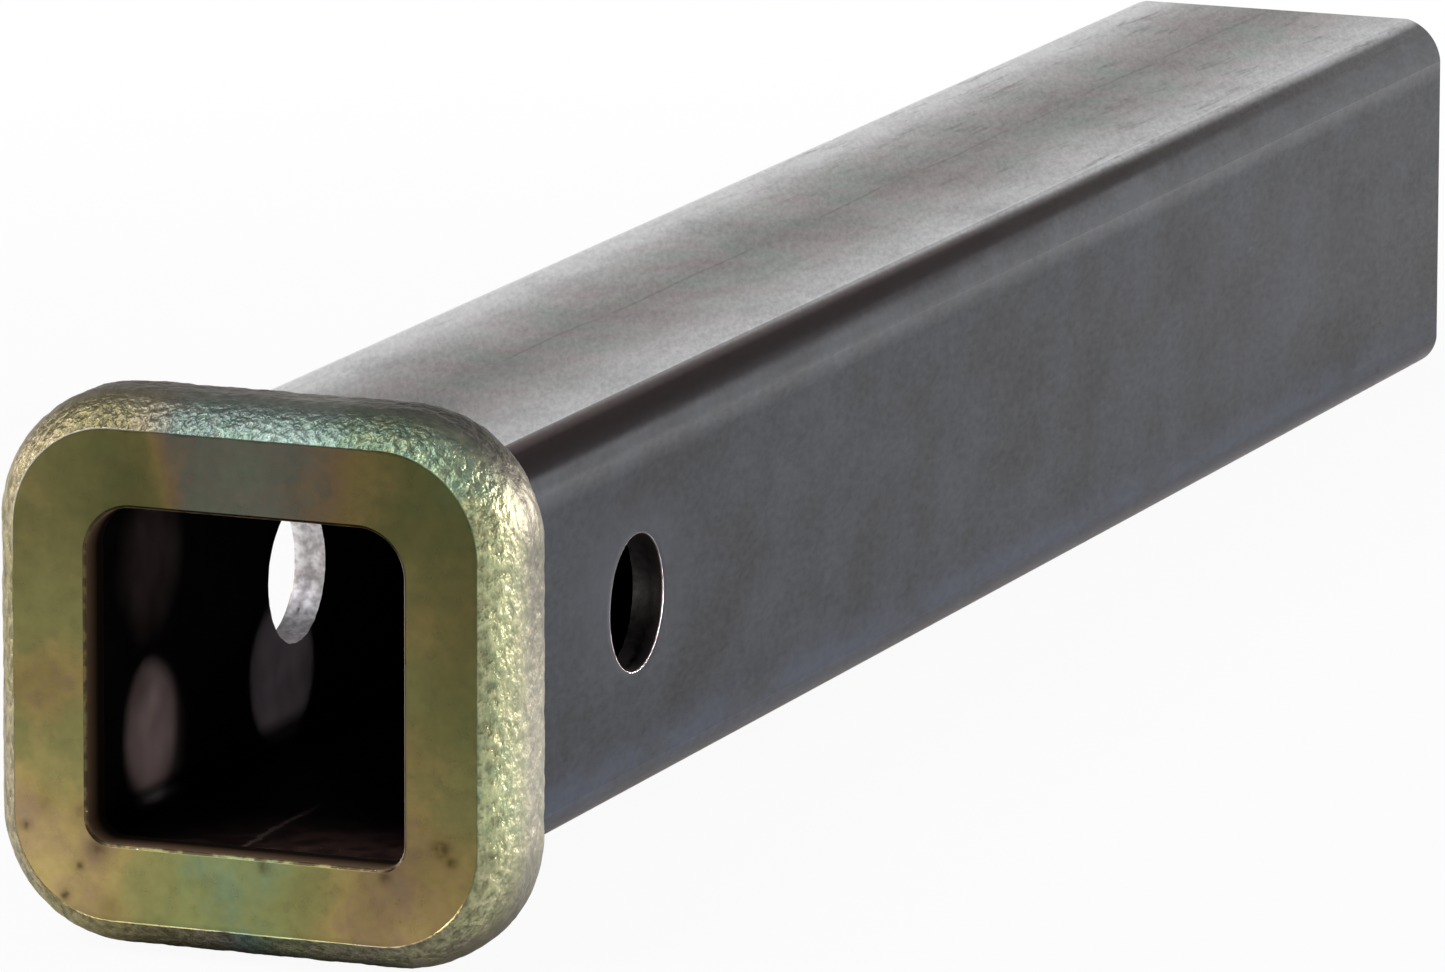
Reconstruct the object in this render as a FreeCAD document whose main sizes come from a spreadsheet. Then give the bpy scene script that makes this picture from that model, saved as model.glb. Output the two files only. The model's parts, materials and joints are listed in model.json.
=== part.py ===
import FreeCAD, Part
import math
import os
import Sketcher

# Weld-on receiver tube with a reinforcing collar, in millimetres.
# Frame: the origin is the centre of the pin hole on the tube's axis, +X runs along the
# pin hole, +Y runs along the tube from its mouth to its rear end, and +Z is up.

doc = FreeCAD.newDocument("receiver_tube")
sheet = doc.addObject("Spreadsheet::Sheet", "Sizes")

# name, value, what it is
driving_sizes = [
    ("bore_width", 31.75, "square opening for the shank, 1-1/4 in, in the lip and in the tube"),
    ("tube_wall", 3.175, "wall of the square tube, 1/8 in"),
    ("bore_corner_radius", 1.585, "inside corner of the formed tube"),
    ("tube_length", 275.4, "square tube alone, end to end"),
    ("pin_hole_diameter", 13.1, "33/64 in hole for a 1/2 in pin"),
    ("pin_setback", 44.45, "front end of the tube to the pin hole's centre, 1-3/4 in"),
    ("collar_wall", 7.0, "metal of the collar round its socket, before its edges are rounded"),
    ("collar_corner_radius", 12.7, "outside corners of the collar"),
    ("socket_clearance", 0.15, "gap on each side between the tube and its socket"),
    ("socket_depth", 8.0, "how far the tube goes into the collar"),
    ("lip_thickness", 4.0, "metal of the collar in front of the tube's end"),
    ("rim_radius", 7.0, "forged rounding of the collar's front edge"),
    ("facing_cut", 1.26, "metal turned off the forged front, which leaves the crease"),
    ("back_edge_radius", 4.0, "forged rounding of the collar's back edge"),
    ("least_straight_side", 0.2, "straight metal left between the two roundings, at the least"),
    ("opening_top_radius", 4.6, "upper corners of the lip's opening"),
    ("opening_bottom_radius", 2.4, "lower corners of the lip's opening"),
    ("opening_edge_break", 0.3, "broken edge round the lip's opening"),
    ("weld_leg", 3.6, "length of the weld bead along the tube"),
    ("weld_crown", 0.4, "how far the face of the bead bulges"),
    ("cut_allowance", 5.0, "how far a cutting outline stands clear of the metal it cuts"),
]
# name, formula, what it is
derived_sizes = [
    ("tube_width", "=bore_width + 2 * tube_wall", "outside of the square tube, 1-1/2 in"),
    ("tube_corner_radius", "=bore_corner_radius + tube_wall", "outside corner of the tube"),
    ("socket_width", "=tube_width + 2 * socket_clearance", "socket in the collar"),
    ("socket_corner_radius", "=tube_corner_radius + socket_clearance", "corner of the socket"),
    ("collar_width", "=socket_width + 2 * collar_wall", "outside of the collar"),
    ("collar_depth", "=lip_thickness + socket_depth", "front face to back face of the collar"),
    ("back_rounding", "=min(back_edge_radius; collar_depth + facing_cut - rim_radius - least_straight_side)",
     "back rounding, kept clear of the rim"),
    ("weld_rise", "=collar_wall + socket_clearance - back_rounding",
     "height of the bead on the collar's flat back, out to its rounded edge"),
]


def fill_sheet():
    for row, (alias, value, note) in enumerate(driving_sizes + derived_sizes, start=1):
        sheet.set(f"A{row}", alias)
        sheet.set(f"B{row}", str(value))
        sheet.set(f"C{row}", note)
        sheet.setAlias(f"B{row}", alias)
    doc.recompute()


def size(alias):
    return float(sheet.get(alias))


def new_body(name, y_place):
    """A sub-part whose own front plane stands at y_place, a formula on the sheet."""
    body = doc.addObject("PartDesign::Body", name)
    body.Label = name
    body.setExpression("Placement.Base.y", y_place)
    return body


def new_sketch(body, name, role, offset=None):
    """A sketch on one of the body's own planes, moved along its normal by a formula."""
    sketch = body.newObject("Sketcher::SketchObject", name)
    plane = [item for item in body.Origin.OriginFeatures if item.Role == role][0]
    sketch.AttachmentSupport = [(plane, "")]
    sketch.MapMode = "FlatFace"
    if offset:
        sketch.setExpression("AttachmentOffset.Base.z", offset)
    return sketch


def bind(sketch, constraint, name, formula):
    """Adds a constraint that takes its value from the sheet."""
    index = sketch.addConstraint(constraint)
    sketch.renameConstraint(index, name)
    sketch.setExpression(f"Constraints.{name}", formula)


def add_rounded_square(sketch, prefix, width, upper_radius, lower_radius=None):
    """Draws a square with rounded corners about the sketch's origin."""
    lower_radius = lower_radius or upper_radius
    # starting places only: the constraints below set the real ones
    half = 20.0
    corner = 3.0
    flat = half - corner
    quarter_turn = math.pi / 2
    vector = FreeCAD.Vector
    first = sketch.GeometryCount
    corners = [(1, 1), (-1, 1), (-1, -1), (1, -1)]
    # lines in the order top, left, bottom, right, each followed by the corner that it starts from
    ends = [((flat, half), (-flat, half)), ((-half, flat), (-half, -flat)),
            ((-flat, -half), (flat, -half)), ((half, -flat), (half, flat))]
    for start, end in ends:
        sketch.addGeometry(Part.LineSegment(vector(*start, 0), vector(*end, 0)), False)
    for quarter, (side_x, side_y) in enumerate(corners):
        circle = Part.Circle(vector(side_x * flat, side_y * flat, 0), vector(0, 0, 1), corner)
        start_angle = quarter * quarter_turn
        sketch.addGeometry(Part.ArcOfCircle(circle, start_angle, start_angle + quarter_turn), False)
    for quarter in range(4):
        arc = first + 4 + quarter
        line_before = first + (quarter + 3) % 4
        line_after = first + quarter
        sketch.addConstraint(Sketcher.Constraint("Tangent", line_before, 2, arc, 1))
        sketch.addConstraint(Sketcher.Constraint("Tangent", arc, 2, line_after, 1))
        direction = "Horizontal" if quarter % 2 == 0 else "Vertical"
        sketch.addConstraint(Sketcher.Constraint(direction, line_after))
    origin = (-1, 1)
    top, left, bottom, right = [first + index for index in range(4)]
    places = [("DistanceY", "top", (*origin, top, 1)), ("DistanceX", "left", (left, 1, *origin)),
              ("DistanceY", "bottom", (bottom, 1, *origin)), ("DistanceX", "right", (*origin, right, 1))]
    for kind, side, ends in places:
        bind(sketch, Sketcher.Constraint(kind, *ends, half), f"{prefix}_{side}", f"{width} / 2")
    for quarter, (side_x, side_y) in enumerate(corners):
        radius = upper_radius if side_y > 0 else lower_radius
        constraint = Sketcher.Constraint("Radius", first + 4 + quarter, corner)
        bind(sketch, constraint, f"{prefix}_corner{quarter}", radius)


def add_pad(body, name, sketch, length, reverse):
    pad = body.newObject("PartDesign::Pad", name)
    pad.Profile = sketch
    pad.setExpression("Length", length)
    pad.Reversed = reverse
    doc.recompute()
    return pad


def add_pocket(body, name, sketch, length=None, reverse=False, both_ways=False):
    """Cuts a pocket, and stops if it removes nothing."""
    volume_before = body.Shape.Volume
    pocket = body.newObject("PartDesign::Pocket", name)
    pocket.Profile = sketch
    if length:
        pocket.setExpression("Length", length)
    else:
        pocket.Type = "ThroughAll"
    pocket.Midplane = both_ways
    pocket.Reversed = reverse
    doc.recompute()
    if body.Shape.Volume > volume_before - 1.0:
        raise RuntimeError(f"{name} cuts nothing")
    return pocket


def edges_at(feature, y, inside=None):
    """Names of the edges that lie in the plane y, all of them or those within a half-width."""
    names = []
    for index, edge in enumerate(feature.Shape.Edges, start=1):
        box = edge.BoundBox
        in_plane = abs(box.YMin - y) < 0.001 and abs(box.YMax - y) < 0.001
        reach = max(abs(box.XMin), abs(box.XMax), abs(box.ZMin), abs(box.ZMax))
        if in_plane and (inside is None or reach < inside):
            names.append(f"Edge{index}")
    return names


def add_rounding(body, kind, name, feature, edges, formula):
    """Rounds or breaks edges: kind is Fillet or Chamfer."""
    rounding = body.newObject(f"PartDesign::{kind}", name)
    rounding.Base = (feature, edges)
    rounding.setExpression("Radius" if kind == "Fillet" else "Size", formula)
    doc.recompute()
    return rounding


def make_square_tube():
    """Formed square tube, open at both ends, with the pin hole through its side walls."""
    body = new_body("square_tube", "-Sizes.pin_setback")
    section = new_sketch(body, "tube_section", "XZ_Plane")
    add_rounded_square(section, "outside", "Sizes.tube_width", "Sizes.tube_corner_radius")
    add_rounded_square(section, "bore", "Sizes.bore_width", "Sizes.bore_corner_radius")
    add_pad(body, "tube_wall_pad", section, "Sizes.tube_length", reverse=True)

    hole = new_sketch(body, "pin_hole_circle", "YZ_Plane")
    setback, diameter = size("pin_setback"), size("pin_hole_diameter")
    circle = Part.Circle(FreeCAD.Vector(setback, 0, 0), FreeCAD.Vector(0, 0, 1), diameter / 2)
    hole.addGeometry(circle, False)
    hole.addConstraint(Sketcher.Constraint("PointOnObject", 0, 3, -1))
    bind(hole, Sketcher.Constraint("DistanceX", -1, 1, 0, 3, setback), "setback", "Sizes.pin_setback")
    bind(hole, Sketcher.Constraint("Diameter", 0, diameter), "bore", "Sizes.pin_hole_diameter")
    add_pocket(body, "pin_hole", hole, both_ways=True)
    return body


def make_collar():
    """Forged ring: a block with rounded edges, faced in front, with a lip and a socket."""
    body = new_body("collar", "-(Sizes.pin_setback + Sizes.lip_thickness)")
    outline = new_sketch(body, "forging_outline", "XZ_Plane", "Sizes.facing_cut")
    add_rounded_square(outline, "outside", "Sizes.collar_width", "Sizes.collar_corner_radius")
    forging = add_pad(body, "forging", outline, "Sizes.collar_depth + Sizes.facing_cut", reverse=True)
    front_edges = edges_at(forging, -size("facing_cut"))
    rim = add_rounding(body, "Fillet", "rim", forging, front_edges, "Sizes.rim_radius")
    back_edges = edges_at(rim, size("collar_depth"))
    add_rounding(body, "Fillet", "back_edge", rim, back_edges, "Sizes.back_rounding")

    facing = new_sketch(body, "facing_outline", "XZ_Plane")
    add_rounded_square(facing, "facing", "Sizes.collar_width + 2 * Sizes.cut_allowance",
                       "Sizes.collar_corner_radius")
    add_pocket(body, "front_facing", facing, reverse=True)

    socket = new_sketch(body, "socket_outline", "XZ_Plane", "-Sizes.lip_thickness")
    add_rounded_square(socket, "socket", "Sizes.socket_width", "Sizes.socket_corner_radius")
    add_pocket(body, "tube_socket", socket)

    opening = new_sketch(body, "opening_outline", "XZ_Plane")
    add_rounded_square(opening, "opening", "Sizes.bore_width",
                       "Sizes.opening_top_radius", "Sizes.opening_bottom_radius")
    through = add_pocket(body, "shank_opening", opening)
    opening_edges = edges_at(through, 0.0, inside=size("bore_width") / 2 + 0.01)
    add_rounding(body, "Chamfer", "opening_edge", through, opening_edges, "Sizes.opening_edge_break")
    return body


def make_collar_weld():
    """Fillet bead that runs once round the tube, against the collar's flat back."""
    body = new_body("collar_weld", "Sizes.socket_depth - Sizes.pin_setback")
    path = new_sketch(body, "weld_path", "XZ_Plane")
    add_rounded_square(path, "path", "Sizes.tube_width", "Sizes.tube_corner_radius")

    profile = new_sketch(body, "weld_profile", "YZ_Plane")
    half = size("tube_width") / 2
    leg, rise, crown = size("weld_leg"), size("weld_rise"), size("weld_crown")
    root = FreeCAD.Vector(0, half, 0)
    toe = FreeCAD.Vector(leg, half, 0)
    head = FreeCAD.Vector(0, half + rise, 0)
    normal = FreeCAD.Vector(rise, leg, 0)
    normal.normalize()
    middle = (toe + head) * 0.5 + normal * crown
    profile.addGeometry(Part.LineSegment(head, root), False)
    profile.addGeometry(Part.LineSegment(root, toe), False)
    profile.addGeometry(Part.Arc(toe, middle, head), False)
    profile.addConstraint(Sketcher.Constraint("Coincident", 0, 2, 1, 1))
    profile.addConstraint(Sketcher.Constraint("Coincident", 1, 2, 2, 1))
    profile.addConstraint(Sketcher.Constraint("Coincident", 2, 2, 0, 1))
    profile.addConstraint(Sketcher.Constraint("Vertical", 0))
    profile.addConstraint(Sketcher.Constraint("Horizontal", 1))
    profile.addConstraint(Sketcher.Constraint("PointOnObject", 1, 1, -2))
    bind(profile, Sketcher.Constraint("DistanceY", -1, 1, 1, 1, half), "on_tube", "Sizes.tube_width / 2")
    bind(profile, Sketcher.Constraint("DistanceX", 1, 1, 1, 2, leg), "leg", "Sizes.weld_leg")
    bind(profile, Sketcher.Constraint("DistanceY", 0, 2, 0, 1, rise), "rise", "Sizes.weld_rise")
    chord_squared = "(Sizes.weld_leg ^ 2 + Sizes.weld_rise ^ 2)"
    face_radius = f"{chord_squared} / (8 * Sizes.weld_crown) + Sizes.weld_crown / 2"
    start_radius = (leg ** 2 + rise ** 2) / (8 * crown) + crown / 2
    bind(profile, Sketcher.Constraint("Radius", 2, start_radius), "face", face_radius)
    doc.recompute()

    bead = body.newObject("PartDesign::AdditivePipe", "bead")
    bead.Profile = profile
    bead.Spine = (path, [f"Edge{number}" for number in range(1, 9)])
    doc.recompute()
    return body


def check_and_export(bodies):
    """Stops on a failed object or a bad solid, then writes one file for each sub-part."""
    doc.recompute()
    for item in doc.Objects:
        if "Invalid" in item.State or "Error" in item.State:
            raise RuntimeError(f"{item.Label} failed: {item.State}")
    for body in bodies:
        if body.Shape.isNull() or not body.Shape.isValid() or len(body.Shape.Solids) != 1:
            raise RuntimeError(f"{body.Label} is not one valid solid")
    os.makedirs("parts", exist_ok=True)
    for body in bodies:
        body.Shape.exportStep(f"parts/{body.Label}.step")
        box = body.Shape.BoundBox
        print(f"{body.Label}: volume {body.Shape.Volume:.1f}, x {box.XMin:.2f} to {box.XMax:.2f},"
              f" y {box.YMin:.2f} to {box.YMax:.2f}, z {box.ZMin:.2f} to {box.ZMax:.2f}")


fill_sheet()
check_and_export([make_square_tube(), make_collar(), make_collar_weld()])
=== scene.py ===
import json
import math
from functools import partial

import bmesh
import bpy
from mathutils import Matrix, Vector, noise


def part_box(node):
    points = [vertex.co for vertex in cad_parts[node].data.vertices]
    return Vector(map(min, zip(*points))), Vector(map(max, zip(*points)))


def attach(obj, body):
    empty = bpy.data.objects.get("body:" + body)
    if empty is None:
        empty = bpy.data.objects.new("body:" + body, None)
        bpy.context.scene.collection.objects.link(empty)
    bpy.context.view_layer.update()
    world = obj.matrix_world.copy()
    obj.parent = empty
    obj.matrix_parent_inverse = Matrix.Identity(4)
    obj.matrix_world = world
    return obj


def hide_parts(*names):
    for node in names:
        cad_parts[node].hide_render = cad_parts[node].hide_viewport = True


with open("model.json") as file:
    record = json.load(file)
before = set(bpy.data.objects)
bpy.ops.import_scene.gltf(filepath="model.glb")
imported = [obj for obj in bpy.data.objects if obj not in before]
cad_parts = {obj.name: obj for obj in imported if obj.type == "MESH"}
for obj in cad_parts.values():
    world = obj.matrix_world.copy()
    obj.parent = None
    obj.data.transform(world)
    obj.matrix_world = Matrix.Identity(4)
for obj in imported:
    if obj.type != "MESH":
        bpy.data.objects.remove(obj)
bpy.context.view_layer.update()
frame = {"nodes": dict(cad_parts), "record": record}
mm = 0.001
noise.seed_set(7)        # the plating's colours drift the same way every time
tubeLow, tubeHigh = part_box("square_tube")
collarLow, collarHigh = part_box("collar")
weldLow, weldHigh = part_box("collar_weld")
mounts = {mount["name"]: mount for mount in frame["record"]["mounts"]}
print("frame loaded:", sorted(frame["nodes"]))


def linearColour(text):
    # sRGB hex to the linear colour that the shaders take
    shares = [int(text[i:i + 2], 16) / 255 for i in (1, 3, 5)]
    return (*[s / 12.92 if s <= 0.04045 else ((s + 0.055) / 1.055) ** 2.4 for s in shares], 1.0)


def addNode(tree, kind, inputs=(), stops=None, out=0, **settings):
    # one node, its settings, its sockets (a value, a hex colour or a socket to link from; in their order, or
    # by name or number) and a ramp's stops. Gives the output that out names, or all of them for None. A kind
    # without "Node" in it is a shader node's
    node = tree.nodes.new(kind if "Node" in kind else "ShaderNode" + kind)
    for name, value in settings.items():
        setattr(node, name, value)
    for key, value in inputs.items() if isinstance(inputs, dict) else enumerate(inputs):
        if isinstance(value, bpy.types.NodeSocket):
            tree.links.new(value, node.inputs[key])
        else:
            node.inputs[key].default_value = linearColour(value) if str(value).startswith("#") else value
    if stops:
        elements = node.color_ramp.elements
        while len(elements) < len(stops):
            elements.new(1.0)
        for element, (place, colour) in zip(elements, stops):
            element.position = place
            element.color = linearColour(colour)
    return node.outputs if out is None or not node.outputs else node.outputs[out]


def newMaterial(name):
    # the material, and what adds a node to it
    material = bpy.data.materials.new(name)
    material.use_nodes = True
    material.node_tree.nodes.clear()
    return material, partial(addNode, material.node_tree)


def addObject(name, data):
    thing = bpy.data.objects.new(name, data)
    bpy.context.scene.collection.objects.link(thing)
    return thing


def meshObject(shape, name, materials):
    mesh = bpy.data.meshes.new(name)
    shape.to_mesh(mesh)
    shape.free()
    for material in materials:
        mesh.materials.append(material)
    return addObject(name, mesh)


# Camera, fitted to the photo's straight edges. Sizes in mm, angles in degrees.
photoView = {
    "azimuth": 21.899, "elevation": 11.63, "roll": 0.174,
    "distance": 1284.8, "across": 43.839, "above": 18.499,   # from the middle of the collar's face
    "focalPixels": 14034, "imageWidth": 1445, "sensorWidth": 36,
}


def placeCamera():
    turn, lift, roll = (math.radians(photoView[k]) for k in ("azimuth", "elevation", "roll"))
    back = Vector((math.sin(turn) * math.cos(lift), -math.cos(turn) * math.cos(lift), math.sin(lift)))
    right = (-back).cross(Vector((0, 0, 1))).normalized()
    up = right.cross(-back)
    right, up = (right * math.cos(roll) + up * math.sin(roll), up * math.cos(roll) - right * math.sin(roll))
    place = Vector((0, collarLow.y, 0)) + back * photoView["distance"] * mm
    place += right * photoView["across"] * mm + up * photoView["above"] * mm
    lens = bpy.data.cameras.new("photoCamera")
    lens.sensor_width = photoView["sensorWidth"]
    lens.lens = photoView["focalPixels"] / photoView["imageWidth"] * photoView["sensorWidth"]
    lens.clip_start, lens.clip_end = 0.1, 50
    camera = addObject("photoCamera", lens)
    camera.matrix_world = Matrix.Translation(place) @ Matrix((right, up, back)).transposed().to_4x4()
    bpy.context.scene.camera = camera


placeCamera()
print("camera placed")


def spread(start, end, count):
    return [start + (end - start) * i / count for i in range(count + 1)]


# Outlines and rings. An outline is a rounded square about the tube's axis, anticlockwise from the mouth.
def outline(half, upperRadius, lowerRadius, cornerSteps, flatSteps, topAngle=0.0, sideAngle=90.0):
    # topAngle and sideAngle say where each corner's arc starts and ends: 0 and 90 are tangent to the flats
    first, last = math.radians(topAngle), math.radians(sideAngle)
    arcs = []
    for turn, (signX, signZ) in enumerate([(1, 1), (-1, 1), (-1, -1), (1, -1)]):
        radius = upperRadius if signZ > 0 else lowerRadius
        centreX = half - radius * math.sin(last)
        centreZ = half - radius * math.cos(first)
        angles = spread(first, last, cornerSteps)
        if turn % 2 == 0:
            angles.reverse()
        arcs.append([(signX * (centreX + radius * math.sin(a)), signZ * (centreZ + radius * math.cos(a)))
                     for a in angles])
    points = []
    for turn, arc in enumerate(arcs):
        points += arc
        (x0, z0), (x1, z1) = arc[-1], arcs[(turn + 1) % 4][0]
        points += list(zip(spread(x0, x1, flatSteps), spread(z0, z1, flatSteps)))[1:-1]
    return points


def addRing(shape, points, y):
    return [shape.verts.new((x * mm, y * mm, z * mm)) for x, z in points]


def joinRings(shape, ringA, ringB, materialIndex=0, skip=()):
    count = len(ringA)
    for k in range(count):
        if k not in skip:
            n = (k + 1) % count
            face = shape.faces.new((ringA[k], ringA[n], ringB[n], ringB[k]))
            face.material_index = materialIndex


def finishMesh(shape, name, materials, sharpAngle=30.0, isCrease=None):
    # closes the seams, turns the faces outwards, marks the sharp edges and makes the object
    bmesh.ops.remove_doubles(shape, verts=shape.verts, dist=0.0005 * mm)
    bmesh.ops.recalc_face_normals(shape, faces=shape.faces)
    for face in shape.faces:
        face.smooth = True
    limit = math.radians(sharpAngle)
    for edge in shape.edges:
        bent = len(edge.link_faces) == 2 and edge.calc_face_angle() > limit
        edge.smooth = not (bent or (isCrease and isCrease(edge)))
    return meshObject(shape, name, materials)


def bakeTree(piece, tree, values):
    # runs a Geometry Nodes tree on the piece and keeps the result as its plain mesh
    modifier = piece.modifiers.new(tree.name, "NODES")
    modifier.node_group = tree
    for socket in tree.interface.items_tree:
        if socket.item_type == "SOCKET" and socket.in_out == "INPUT" and socket.name in values:
            modifier[socket.identifier] = values[socket.name]
    graph = bpy.context.evaluated_depsgraph_get()
    mesh = bpy.data.meshes.new_from_object(piece.evaluated_get(graph), preserve_all_data_layers=True,
                                           depsgraph=graph)
    piece.modifiers.remove(modifier)
    piece.data = mesh
    mesh.name = piece.name


def newTree(name, sizeNames):
    # a tree that takes a geometry, the named sizes and a material, what adds a node to it, and its inputs
    tree = bpy.data.node_groups.new(name, "GeometryNodeTree")
    tree.interface.new_socket("Geometry", in_out="OUTPUT", socket_type="NodeSocketGeometry")
    tree.interface.new_socket("Geometry", in_out="INPUT", socket_type="NodeSocketGeometry")
    for sizeName in sizeNames:
        tree.interface.new_socket(sizeName, in_out="INPUT", socket_type="NodeSocketFloat")
    tree.interface.new_socket("Material", in_out="INPUT", socket_type="NodeSocketMaterial")
    add = partial(addNode, tree)
    return tree, add, add("NodeGroupInput", out=None)


def pushSkin(add, given, height):
    # moves the skin along its normal by the height, and ends the tree
    normal = add("GeometryNodeInputNormal")
    push = add("VectorMath", {0: normal, "Scale": height}, operation="SCALE")
    moved = add("GeometryNodeSetPosition", {"Geometry": given["Geometry"], "Offset": push})
    real = add("GeometryNodeRealizeInstances", {"Geometry": moved})
    dressed = add("GeometryNodeSetMaterial", {"Geometry": real, "Material": given["Material"]})
    add("NodeGroupOutput", {"Geometry": dressed})


# Square tube. Sizes in mm; the hole's come from the record's mount.
tubeSizes = {
    "half": tubeHigh.x / mm, "front": tubeLow.y / mm, "rear": tubeHigh.y / mm,
    "wall": 3.175, "boreRadius": 1.585,
    # the rolled flats end in a faint line; the lower corners look tighter in the photo than the upper ones
    "upperRadius": 5.0, "lowerRadius": 3.6, "topCrease": 13.0, "sideCrease": 84.0,
    "holeRadius": mounts["pin_hole"]["dims"]["r_mm"],
    "holePatch": 14.5,          # half length of the stretch that carries the holes
    "backRing": 1.8,            # ring of faces round the hole on the bore's side
    "edgeBreak": {"front": 0.02, "rear": 0.14},      # sawn ends, the rear one lightly deburred
    "cornerSteps": 16, "flatSteps": 24, "stretchLength": 6.0,
    "tornNoise": 0.09, "shearedDepth": 1.15, "tearsRound": 9, "tearsDown": 2.2,
}
# punched wall, as widening beyond the hole's radius against depth from the outer face:
# rolled-over edge, smooth sheared part, torn and slightly wider part
punchedWall = [(1.0, 0.0), (0.16, 0.0), (0.1, 0.01), (0.05, 0.03), (0.02, 0.08), (0.0, 0.16), (0.0, 0.55),
               (0.0, 1.15), (0.06, 1.35), (0.1, 1.75), (0.14, 2.2), (0.17, 2.7), (0.2, 3.175)]
tubeSkin, tubeCut, tubeBore, tubeTorn = range(4)       # the tube's material places


def punchHole(shape, outerRing, innerRing, centreSide, sizes):
    # fills the side's square with a ring of quads round the hole, then the hole's wall, then the inner face
    def pull(ring, radius, depth, torn):
        points = []
        for vert in ring:
            angle = math.atan2(vert.co.z, vert.co.y)
            turns = sizes["tearsRound"]
            tear = Vector((math.cos(angle) * turns, math.sin(angle) * turns,
                           depth * sizes["tearsDown"] + centreSide))
            reach = radius + torn * noise.noise(tear)
            x = centreSide * (sizes["half"] - depth)
            y, z = math.cos(angle) * reach, math.sin(angle) * reach
            points.append(shape.verts.new((x * mm, y * mm, z * mm)))
        return points

    rings = [outerRing]
    for widening, depth in punchedWall:
        torn = sizes["tornNoise"] if depth > sizes["shearedDepth"] else 0.0
        rings.append(pull(outerRing, sizes["holeRadius"] + widening, depth, torn))
    for index in range(len(rings) - 1):
        joinRings(shape, rings[index], rings[index + 1], tubeSkin if index < 2 else tubeTorn)
    backRing = pull(outerRing, sizes["holeRadius"] + sizes["backRing"], sizes["wall"], 0.0)
    joinRings(shape, rings[-1], backRing, tubeBore)
    joinRings(shape, backRing, innerRing, tubeBore)


def sideRing(rows, start, steps):
    # the vertices round one side's square, from rows of the tube's rings
    low = [row[start] for row in rows]
    high = [row[(start + steps) % len(rows[0])] for row in rows]
    first = [rows[0][(start + i) % len(rows[0])] for i in range(1, steps)]
    last = [rows[-1][(start + i) % len(rows[0])] for i in range(1, steps)]
    return low + last + high[::-1] + first[::-1]


def makeTube(materials):
    s = tubeSizes
    steps = (s["cornerSteps"], s["flatSteps"])
    block = sum(steps)
    boreHalf = s["half"] - s["wall"]
    creases = (s["topCrease"], s["sideCrease"])
    outer = outline(s["half"], s["upperRadius"], s["lowerRadius"], *steps, *creases)
    inner = outline(boreHalf, s["boreRadius"], s["boreRadius"], *steps)

    front, rear = s["front"] + s["edgeBreak"]["front"], s["rear"] - s["edgeBreak"]["rear"]
    patch = s["holePatch"]
    frontRows = spread(front, -patch, round((-patch - front) / s["stretchLength"]))
    holeRows = spread(-patch, patch, s["flatSteps"])
    rearRows = spread(patch, rear, round((rear - patch) / s["stretchLength"]))
    shape = bmesh.new()
    places = frontRows + holeRows[1:] + rearRows[1:]
    outerRings = [addRing(shape, outer, y) for y in places]
    innerRings = [addRing(shape, inner, y) for y in places]
    firstHole, lastHole = len(frontRows) - 1, len(frontRows) - 1 + s["flatSteps"]
    sideFlats = [turn * block + s["cornerSteps"] for turn in (1, 3)]       # left, right
    holed = {start + i for start in sideFlats for i in range(s["flatSteps"])}
    for row in range(len(places) - 1):
        skip = holed if firstHole <= row < lastHole else ()
        joinRings(shape, outerRings[row], outerRings[row + 1], tubeSkin, skip)
        joinRings(shape, innerRings[row], innerRings[row + 1], tubeBore, skip)
    for start, side in zip(sideFlats, (-1, 1)):
        outerRing = sideRing(outerRings[firstHole:lastHole + 1], start, s["flatSteps"])
        innerRing = sideRing(innerRings[firstHole:lastHole + 1], start, s["flatSteps"])
        punchHole(shape, outerRing, innerRing, side, s)
    for end, place in (("front", 0), ("rear", -1)):
        cut = s["edgeBreak"][end]
        upper, lower = s["upperRadius"] - cut, s["lowerRadius"] - cut
        outerEdge = outline(s["half"] - cut, upper, lower, *steps, *creases)
        innerEdge = outline(boreHalf + cut, s["boreRadius"] + cut, s["boreRadius"] + cut, *steps)
        rings = [outerRings[place], addRing(shape, outerEdge, s[end]), addRing(shape, innerEdge, s[end]),
                 innerRings[place]]
        for a, b in zip(rings, rings[1:]):
            joinRings(shape, a, b, tubeCut if end == "rear" else tubeBore)

    # where the arcs of the upper right and the lower right corner meet the flats
    flat, corner = s["flatSteps"], s["cornerSteps"]
    arcEnds = [outer[0], outer[corner], outer[-flat], outer[-flat - corner]]

    def onCrease(vert):
        x, z = abs(vert.co.x) / mm, vert.co.z / mm
        return any(abs(x - px) < 0.01 and abs(z - pz) < 0.01 for px, pz in arcEnds)

    def isCrease(edge):
        a, b = edge.verts
        return onCrease(a) and onCrease(b) and abs(a.co.y - b.co.y) > 0.01 * mm

    tube = finishMesh(shape, "steelTube", materials, isCrease=isCrease)
    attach(tube, "root")
    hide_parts("square_tube")
    return tube


# Collar. Sizes in mm.
collarSizes = {
    "half": collarHigh.x / mm, "front": collarLow.y / mm, "back": collarHigh.y / mm,
    "cornerRadius": 12.7, "rimRadius": 7.0, "rimCentre": 19.2, "backRadius": 4.0,
    "openingHalf": 15.875, "openingUpper": 4.6, "openingLower": 2.4, "openingBreak": 0.3,
    "lip": 4.0, "socketHalf": 19.2, "socketUpper": 4.91, "socketLower": 3.51,
    "rimDepth": 5.74,           # how far behind the faced front the rim's arc ends on the side
    "creaseRound": 0.12, "grainStep": 0.27, "faceSteps": 14, "backSteps": 9,
    "cornerSteps": 62, "flatSteps": 112,
    "grain": 1.15, "stretch": 1.4, "height": 0.24, "pitHeight": 0.06, "pitCells": 0.35,
}


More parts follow.
